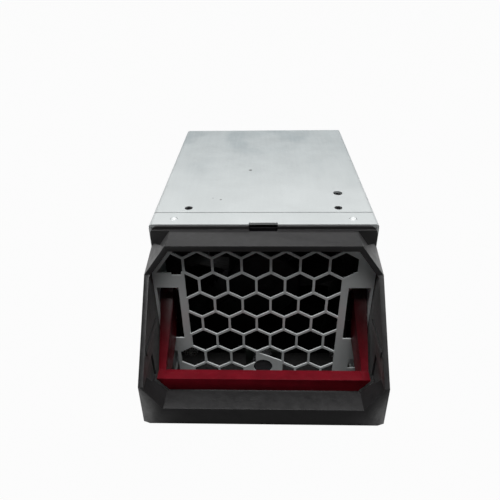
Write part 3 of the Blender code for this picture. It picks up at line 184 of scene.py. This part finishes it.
class Material:
    """A Principled material with a few short calls for its procedural detail."""

    def __init__(self, name, color, roughness, metallic=0.0, specular=0.5, coat=0.0):
        self.made = bpy.data.materials.new(name)
        self.made.use_nodes = True
        self.tree = self.made.node_tree
        self.shader = self.tree.nodes["Principled BSDF"]
        self.set("Base Color", (*color, 1.0))
        self.set("Roughness", roughness)
        self.set("Metallic", metallic)
        self.set("Specular IOR Level", specular)
        self.set("Coat Weight", coat)
        self.place = self.node("ShaderNodeTexCoord").outputs["Object"]

    def set(self, socket, value):
        self.shader.inputs[socket].default_value = value

    def drive(self, socket, source):
        self.link(source, self.shader.inputs[socket])

    def link(self, source, target):
        self.tree.links.new(source, target)

    def node(self, kind, **settings):
        made = self.tree.nodes.new(kind)
        for name, value in settings.items():
            setattr(made, name, value)
        return made

    def along(self, axis):
        """The object coordinate on one axis."""
        parts = self.node("ShaderNodeSeparateXYZ")
        self.link(self.place, parts.inputs["Vector"])
        return parts.outputs[axis]

    def scaled(self, stretch):
        """Object coordinates stretched by a factor along each axis."""
        mapping = self.node("ShaderNodeMapping")
        mapping.inputs["Scale"].default_value = stretch
        self.link(self.place, mapping.inputs["Vector"])
        return mapping.outputs["Vector"]

    def noise(self, scale, detail=2.0, stretch=(1, 1, 1), rough=0.5):
        made = self.node("ShaderNodeTexNoise")
        made.inputs["Scale"].default_value = scale
        made.inputs["Detail"].default_value = detail
        made.inputs["Roughness"].default_value = rough
        self.link(self.scaled(stretch), made.inputs["Vector"])
        return made.outputs["Fac"]

    def cells(self, scale, stretch=(1, 1, 1)):
        made = self.node("ShaderNodeTexVoronoi")
        made.inputs["Scale"].default_value = scale
        self.link(self.scaled(stretch), made.inputs["Vector"])
        return made.outputs["Color"]

    def ramp(self, factor, low, high):
        """Colours or greys that follow a factor from low to high."""
        made = self.node("ShaderNodeValToRGB")
        for stop, position, value in zip(made.color_ramp.elements, RAMP_STOPS, (low, high)):
            stop.position = position
            color = value if isinstance(value, tuple) else (value, value, value)
            stop.color = (*color, 1.0)
        self.link(factor, made.inputs["Fac"])
        return made.outputs["Color"]

    def mix(self, factor, low, high):
        made = self.node("ShaderNodeMix", data_type="RGBA")
        self.link(factor, made.inputs["Factor"])
        self.link(low, made.inputs["A"])
        self.link(high, made.inputs["B"])
        return made.outputs["Result"]

    def bump(self, height, distance, strength=1.0):
        """Adds a layer of relief, in metres."""
        made = self.node("ShaderNodeBump")
        made.inputs["Distance"].default_value = distance
        made.inputs["Strength"].default_value = strength
        self.link(height, made.inputs["Height"])
        before = self.shader.inputs["Normal"].links
        if before:
            self.link(before[0].from_socket, made.inputs["Normal"])
        self.link(made.outputs["Normal"], self.shader.inputs["Normal"])


# Materials


def toned(color, factor):
    return tuple(min(1.0, factor * c) for c in color)


def zinc_sheet(name, painted_light=1.0):
    """Zinc-plated sheet: clouds, a faint rolled grain, a dull film further back, small marks, and a
    gain for painted light.
    """
    zinc = Material(name, (0.62, 0.64, 0.63), roughness=0.5, metallic=0.45)
    clouds = zinc.noise(38, detail=4.0)
    grain = zinc.noise(900, detail=3.0, stretch=(1.0, 0.06, 0.3))
    smooth, grained = (
        zinc.ramp(clouds, toned(low, painted_light), toned(high, painted_light)) for low, high in ZINC_TONES
    )
    tone = zinc.mix(grain, smooth, grained)
    patches = step(zinc.tree, zinc.noise(48, detail=3.0, stretch=(1.0, 0.7, 1.0)), FILM_CLOUDS)
    film = calculate(zinc.tree, "MULTIPLY", patches, step(zinc.tree, zinc.along("Y"), FILM_RISE))
    tone = zinc.mix(film, tone, zinc.ramp(grain, *FILM_TONES))
    for middle, size in LID_MARKS:
        away = zinc.node("ShaderNodeVectorMath", operation="DISTANCE")
        zinc.link(zinc.place, away.inputs[0])
        away.inputs[1].default_value = middle
        ragged = calculate(zinc.tree, "MULTIPLY", grain, size)
        edge = calculate(zinc.tree, "ADD", away.outputs["Value"], ragged)
        outside = step(zinc.tree, edge, (size, 2 * size))
        tone = zinc.mix(outside, zinc.ramp(clouds, *MARK_GREYS), tone)
    zinc.drive("Base Color", tone)
    zinc.drive("Roughness", zinc.ramp(zinc.noise(110, detail=3.0), 0.40, 0.50))
    zinc.bump(grain, 0.00002, 0.5)
    return zinc.made


# Painted highlight: the rivet heads are paler than the sheet round them
def rivet_painted_highlight():
    pale = Material("rivet_painted_highlight", (0.76, 0.78, 0.78), roughness=0.55, metallic=0.2)
    pale.drive("Roughness", pale.ramp(pale.noise(1400, detail=3.0), 0.48, 0.62))
    return pale.made


def bright_steel():
    steel = Material("bright_steel", (0.70, 0.70, 0.69), roughness=0.28, metallic=1.0)
    steel.drive("Roughness", steel.ramp(steel.noise(1400, detail=3.0), 0.20, 0.38))
    steel.bump(steel.noise(2600), 0.00001)
    return steel.made


def black_oxide():
    dark = Material("black_oxide", (0.02, 0.02, 0.022), roughness=0.42, metallic=0.6)
    dark.drive("Roughness", dark.ramp(dark.noise(1600, detail=3.0), 0.36, 0.55))
    dark.bump(dark.noise(2600), 0.00001)
    return dark.made


def moulded(name, color, roughness, specular, grain=USUAL_GRAIN, sheen=0.0, dark=None):
    """Injection-moulded plastic with a fine eroded texture and slight sheen changes.

    It darkens to PAINTED_SHADE_SHARE of its colour between the two heights in dark, as painted shade.
    """
    plastic = Material(name, color, roughness, specular=specular)
    plastic.set("Sheen Weight", sheen)
    plastic.set("Sheen Roughness", SHEEN_ROUGHNESS)
    clouds = plastic.noise(240, detail=4.0)
    ends = (toned(color, TONE_LOW), toned(color, TONE_HIGH))
    tone = plastic.ramp(clouds, *ends)
    # Painted shade: the colour falls to a share of itself between two heights
    if dark:
        shade = plastic.ramp(clouds, *(toned(end, PAINTED_SHADE_SHARE) for end in ends))
        tone = plastic.mix(step(plastic.tree, plastic.along("Z"), dark), tone, shade)
    plastic.drive("Base Color", tone)
    plastic.drive(
        "Roughness",
        plastic.ramp(plastic.noise(420, detail=3.0), roughness - SMOOTHER, roughness + ROUGHER),
    )
    plastic.bump(plastic.noise(3200, rough=0.6), grain, 0.6)
    plastic.bump(plastic.noise(1300, detail=1.0), 2 * grain, 0.5)
    plastic.bump(plastic.noise(90), WAVINESS, 0.15)
    return plastic.made


def ferrite():
    magnet = Material("bonded_ferrite", (0.07, 0.07, 0.075), roughness=0.62, metallic=0.3)
    magnet.bump(magnet.noise(2400, detail=3.0), 0.00003)
    magnet.drive("Base Color", magnet.ramp(magnet.noise(600, detail=3.0), 0.05, 0.09))
    return magnet.made


def winding():
    """Enamelled wire, wound in fine turns across the axis."""
    wire = Material("enamelled_winding", (0.55, 0.22, 0.08), roughness=0.3, metallic=0.85)
    waves = wire.node("ShaderNodeTexWave", wave_type="BANDS", bands_direction="Y")
    waves.inputs["Scale"].default_value = 320
    wire.link(wire.place, waves.inputs["Vector"])
    turns = waves.outputs["Fac"]
    wire.drive("Base Color", wire.ramp(turns, (0.34, 0.12, 0.04), (0.62, 0.27, 0.10)))
    wire.bump(turns, 0.0001, 0.6)
    return wire.made


def board():
    mask = Material("solder_mask", (0.010, 0.013, 0.011), roughness=0.4, coat=0.3)
    patches = mask.cells(420)
    mask.drive("Base Color", mask.ramp(patches, (0.008, 0.011, 0.009), (0.014, 0.018, 0.015)))
    mask.bump(mask.noise(1800), 0.00002)
    return mask.made


def gold():
    plate = Material("contact_plating", (0.82, 0.60, 0.26), roughness=0.25, metallic=1.0)
    plate.drive("Roughness", plate.ramp(plate.noise(900), 0.2, 0.36))
    return plate.made


def foam():
    soft = Material("closed_cell_foam", (0.028, 0.028, 0.03), roughness=0.95)
    pores = soft.noise(1500, detail=4.0, rough=0.7)
    soft.drive("Base Color", soft.ramp(pores, 0.015, 0.045))
    soft.bump(pores, 0.0002, 0.8)
    return soft.made


def sleeve():
    """Braided sleeving over the fan leads."""
    braid = Material("braided_sleeve", (0.02, 0.02, 0.021), roughness=0.6)
    weave = braid.cells(1600, (1.0, 0.5, 1.0))
    braid.drive("Base Color", braid.ramp(weave, 0.012, 0.05))
    braid.bump(weave, 0.0001, 0.5)
    return braid.made


def lens():
    clear = Material("smoked_lens", (0.06, 0.06, 0.065), roughness=0.12, specular=0.6, coat=0.5)
    clear.set("Transmission Weight", 0.25)
    clear.drive("Roughness", clear.ramp(clear.noise(700), 0.08, 0.2))
    return clear.made


materials = {
    "zinc_steel": zinc_sheet("zinc_sheet"),
    "bright_steel": bright_steel(),
    "black_oxide": black_oxide(),
    "black_plastic": moulded(
        "bezel_plastic", (0.0110, 0.0105, 0.0110), roughness=0.42, specular=0.6, sheen=0.10
    ),
    # The handle's arms get painted shade towards their pivots
    "maroon_plastic": moulded(
        "maroon_plastic", (0.16, 0.006, 0.013), roughness=0.36, specular=0.14, grain=0.00003,
        dark=ARM_PAINTED_SHADE,
    ),
    "fan_plastic": moulded(
        "fan_housing_plastic", (0.009, 0.009, 0.010), roughness=0.55, specular=0.25
    ),
    "impeller_plastic": moulded(
        "impeller_plastic", (0.010, 0.009, 0.010), roughness=0.5, specular=0.2, grain=0.00001
    ),
    "magnet_ferrite": ferrite(),
    "copper_winding": winding(),
    "circuit_board": board(),
    "gold_contact": gold(),
    "rubber_foam": foam(),
    "cable_sleeve": sleeve(),
    "lamp_lens": lens(),
}
# The grille's copy of the zinc is paler: painted light on its recessed face
grille_zinc_painted_light = zinc_sheet("grille_zinc_painted_light", GRILLE_PAINTED_LIGHT)
# Painted shade: a near-black copy of the moulding for the clip in its notch
clip_painted_shade = moulded("clip_painted_shade", (0.004, 0.004, 0.005), roughness=0.5, specular=0.15)
painted_highlight_zinc = rivet_painted_highlight()

slot_of = {part["node"]: part["material_slot"] for part in frame["record"]["subparts"]}
for name, piece in nodes.items():
    piece.data.materials.clear()
    piece.data.materials.append(materials[slot_of[name]])
# The rivets take the paler zinc, a painted highlight
for side in ("left", "right"):
    nodes["collar_rivet_" + side].data.materials[0] = painted_highlight_zinc
for end in ("front", "rear"):
    nodes["shaft_" + end].data.materials[0] = materials["black_oxide"]


# Pieces with rounded edges in place of the plain solids


def placed(name, shape):
    """A new piece of the scene that takes the finished shape."""
    mesh = bpy.data.meshes.new(name)
    shape.to_mesh(mesh)
    shape.free()
    piece = bpy.data.objects.new(name, mesh)
    bpy.context.scene.collection.objects.link(piece)
    return piece


def rounded(node, body, width, segments=3):
    """A copy of the node's shape with its flats made whole and its edges rounded."""
    shape = bmesh.new()
    shape.from_mesh(nodes[node].data)
    bmesh.ops.remove_doubles(shape, verts=shape.verts[:], dist=SAME_POINT)
    bmesh.ops.dissolve_limit(
        shape, angle_limit=SAME_FLAT, verts=shape.verts[:], edges=shape.edges[:]
    )
    piece = placed(node + "_dressed", shape)
    piece.data.materials.append(materials[slot_of[node]])
    bevel = piece.modifiers.new("rounding", "BEVEL")
    bevel.width = width
    bevel.segments = segments
    bevel.limit_method = "ANGLE"
    bevel.angle_limit = SHARP
    bevel.harden_normals = True
    piece.data.shade_smooth()
    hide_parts(node)
    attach(piece, body)
    return piece


def hex_cutter(across, front, height, whole):
    """A six-sided prism along Y with a corner at its top, or the right half of one."""
    radius = (CELL_PITCH - CELL_WALL) / sqrt(3)
    shape = bmesh.new()
    bmesh.ops.create_cone(
        shape, cap_ends=True, segments=6, radius1=radius, radius2=radius, depth=4 * SHEET,
        matrix=Matrix.Translation((across, front, height)) @ Matrix.Rotation(radians(90), 4, "X"),
    )
    if not whole:
        halved = bmesh.ops.bisect_plane(
            shape, geom=shape.verts[:] + shape.edges[:] + shape.faces[:],
            plane_co=(across, 0, 0), plane_no=(1, 0, 0), clear_inner=True,
        )
        rim = [part for part in halved["geom_cut"] if isinstance(part, bmesh.types.BMEdge)]
        bmesh.ops.contextual_create(shape, geom=rim)
    return placed("cell_cutter", shape)


def cut_now(piece, cutter):
    """Takes the cutter out of the piece's own mesh, and removes the cutter."""
    knife = piece.modifiers.new("opening", "BOOLEAN")
    knife.object = cutter
    piece.modifiers.move(len(piece.modifiers) - 1, 0)
    with bpy.context.temp_override(object=piece, active_object=piece):
        bpy.ops.object.modifier_apply(modifier=knife.name)
    bpy.data.objects.remove(cutter)


def make_grille():
    """The punched face, drawn thinner, with the two cells beside the lamp that its solid lacks.

    The top of its upper return, which shows through the clip's notch, takes black foam as painted
    shade.
    """
    piece = rounded("grille_plate", "chassis", PUNCH_ROUND, 2)
    low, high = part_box("grille_plate")
    front = low[1]
    for point in piece.data.vertices:
        if abs(point.co.y - front - SHEET) < NEAR:
            point.co.y = front + FACE_SHEET
    row_step = CELL_PITCH * sqrt(3) / 2
    first_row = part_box("top_lid")[1][2] - FIRST_ROW_DROP
    for column, row, whole in LAMP_CELLS:
        across = CELL_OFFSET + column * CELL_PITCH
        cut_now(piece, hex_cutter(across, front, first_row - row * row_step, whole))
    piece.data.shade_flat()
    piece.data.materials[0] = grille_zinc_painted_light
    # Painted shade: the upper return's top is black, for the shadow under the clip's notch
    piece.data.materials.append(materials["rubber_foam"])
    for face in piece.data.polygons:
        if face.normal.z > UPWARD and face.center.z > high[2] - SHEET / 2:
            face.material_index = 1


def make_shade_film():
    """Black film on the grille's lower flange, reaching back to the fan: painted shade behind the
    grille.
    """
    low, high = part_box("grille_plate")
    near = low[1] + SILL_BEHIND
    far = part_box("fan_frame_front")[0][1] - SILL_BEFORE_FAN
    half = min(-low[0], high[0]) - SILL_SIDE
    base = low[2] + SHEET + SILL_AIR
    shape = bmesh.new()
    bmesh.ops.create_cube(
        shape, size=1.0,
        matrix=Matrix.Translation((0, (near + far) / 2, base + SILL_SHADE_FILM / 2))
        @ Matrix.Diagonal((2 * half, far - near, SILL_SHADE_FILM, 1)),
    )
    film = placed("sill_shade_film", shape)
    film.data.materials.append(materials["rubber_foam"])
    edge = film.modifiers.new("edge", "BEVEL")
    edge.width = SILL_SHADE_FILM / 4
    edge.segments = 2
    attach(film, "chassis")


def paint_clip_shade(piece):
    """The snap clip in the collar's notch is smoother and darker than the moulding round it: painted
    shade.
    """
    piece.data.materials.append(clip_painted_shade)
    corners = piece.data.vertices
    for face in piece.data.polygons:
        reach = [corners[i].co for i in face.vertices]
        if all(abs(c.x) < CLIP_HALF and c.y > CLIP_FRONT and c.z > CLIP_LOW for c in reach):
            face.material_index = 1


paint_clip_shade(rounded("bezel", "chassis", BEZEL_ROUND))
rounded("front_collar", "chassis", SHEET_ROUND).data.shade_flat()
rounded("handle", "handle", HANDLE_ROUND)
make_grille()
make_shade_film()


# Floor, light and camera


def share_of_white(tree, camera, glossy):
    """How much plain white each kind of ray sees."""
    path = tree.nodes.new("ShaderNodeLightPath").outputs
    direct = calculate(tree, "MAXIMUM", path["Is Camera Ray"], path["Is Transmission Ray"])
    direct = calculate(tree, "MULTIPLY", direct, camera)
    mirrored = calculate(tree, "MULTIPLY", path["Is Glossy Ray"], glossy)
    return calculate(tree, "MAXIMUM", direct, mirrored)


def make_floor():
    """A matt floor that shows white to the eye, and mirrors white beside the object."""
    shape = bmesh.new()
    bmesh.ops.create_grid(shape, x_segments=1, y_segments=1, size=FLOOR_REACH)
    floor = placed("floor", shape)
    paper = Material("floor_paper", FLOOR_TONE, roughness=0.9, specular=0.1)
    tree = paper.tree
    side = step(tree, calculate(tree, "ABSOLUTE", paper.along("X")), FLOOR_SIDES)
    behind = step(tree, paper.along("Y"), FLOOR_FRONT)
    pale = calculate(tree, "MULTIPLY", side, behind)
    glow = paper.node("ShaderNodeEmission")
    mix = paper.node("ShaderNodeMixShader")
    paper.link(share_of_white(tree, FLOOR_WHITE, pale), mix.inputs["Fac"])
    paper.link(paper.shader.outputs["BSDF"], mix.inputs[1])
    paper.link(glow.outputs["Emission"], mix.inputs[2])
    paper.link(mix.outputs["Shader"], tree.nodes["Material Output"].inputs["Surface"])
    floor.data.materials.append(paper.made)
    floor.location.z = -FLOOR_DROP


def make_world():
    """A dim room with one soft glow, which shows white to the eye."""
    world = bpy.data.worlds.new("studio")
    world.use_nodes = True
    bpy.context.scene.world = world
    tree = world.node_tree
    facing = tree.nodes.new("ShaderNodeVectorMath")
    facing.operation = "DOT_PRODUCT"
    facing.inputs[1].default_value = Vector(GLOW_TOWARDS).normalized()
    ray = tree.nodes.new("ShaderNodeTexCoord").outputs["Generated"]
    tree.links.new(ray, facing.inputs[0])
    glow = step(tree, facing.outputs["Value"], GLOW_RISE)
    fill = tree.nodes["Background"]
    fill.inputs["Color"].default_value = (*ROOM_TONE, 1)
    tree.links.new(calculate(tree, "ADD", ROOM_BASE, glow), fill.inputs["Strength"])
    plain = tree.nodes.new("ShaderNodeBackground")
    plain.inputs["Color"].default_value = (1, 1, 1, 1)
    mix = tree.nodes.new("ShaderNodeMixShader")
    tree.links.new(share_of_white(tree, 1.0, ROOM_SHINE), mix.inputs["Fac"])
    tree.links.new(fill.outputs["Background"], mix.inputs[1])
    tree.links.new(plain.outputs["Background"], mix.inputs[2])
    tree.links.new(mix.outputs["Shader"], tree.nodes["World Output"].inputs["Surface"])


def softbox(name, place, size, power):
    """A soft lamp that faces the object's middle."""
    light = bpy.data.lights.new(name, "AREA")
    light.shape = "RECTANGLE"
    light.size, light.size_y = size
    light.energy = power
    lamp = bpy.data.objects.new(name, light)
    bpy.context.scene.collection.objects.link(lamp)
    lamp.location = place
    aim = Vector((0, 0, AIM_HEIGHT)) - Vector(place)
    lamp.rotation_euler = aim.to_track_quat("-Z", "Y").to_euler()


def make_camera():
    optics = bpy.data.cameras.new("view")
    optics.lens = CAMERA_LENS
    optics.sensor_width = CAMERA_SENSOR
    camera = bpy.data.objects.new("view", optics)
    bpy.context.scene.collection.objects.link(camera)
    camera.matrix_world = (
        Matrix.Translation(CAMERA_PLACE)
        @ Matrix.Rotation(CAMERA_YAW, 4, "Z")
        @ Matrix.Rotation(radians(90) + CAMERA_PITCH, 4, "X")
        @ Matrix.Rotation(CAMERA_ROLL, 4, "Z")
    )
    bpy.context.scene.camera = camera


make_floor()
make_world()
for lamp in SOFTBOXES:
    softbox(*lamp)
make_camera()
bpy.context.scene.view_settings.view_transform = "Standard"
